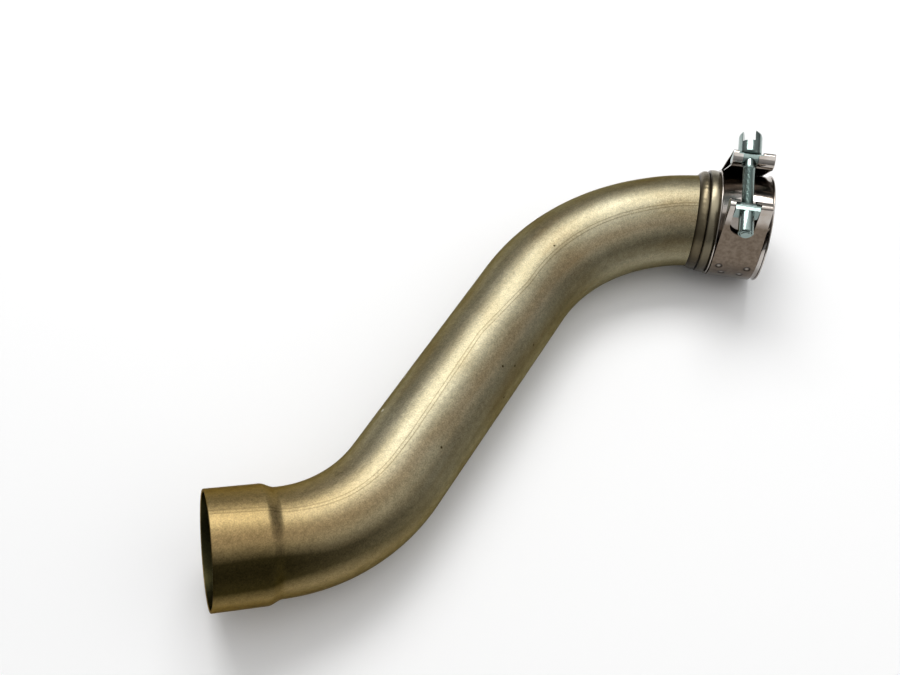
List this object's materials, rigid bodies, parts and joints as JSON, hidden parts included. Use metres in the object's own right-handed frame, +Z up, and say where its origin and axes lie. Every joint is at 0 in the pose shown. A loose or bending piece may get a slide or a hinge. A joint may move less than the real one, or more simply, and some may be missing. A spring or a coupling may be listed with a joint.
{
  "type": "exhaust link pipe",
  "caption": "S-bent steel exhaust link pipe with an expanded socket at one end and a slotted outlet collar carrying a bolted band clamp.",
  "frame": {"origin": "on the ground under the middle of the bounding box", "axes": "+Z up as the pipe lies at rest; +X along its longest extent, from the open socket towards the clamp"},
  "size_m": [0.3744, 0.1012, 0.0773],
  "materials": {
    "tube": "heat-tinted, straw gold, fine grain",
    "weld": "rippled weld, dull olive grey",
    "collar": "satin, grey olive",
    "band": "mirror-polished stainless",
    "zinc": "zinc plated, blue-green tint"
  },
  "bodies": {
    "root": {"pipe_tube": "tube", "weld_bead": "weld", "outlet_collar": "collar", "clamp_liner": "band", "clamp_strap": "band", "trunnion_head_side": "zinc", "trunnion_nut_side": "zinc", "clamp_bolt": "zinc", "clamp_nut": "zinc"}
  },
  "joints": []
}
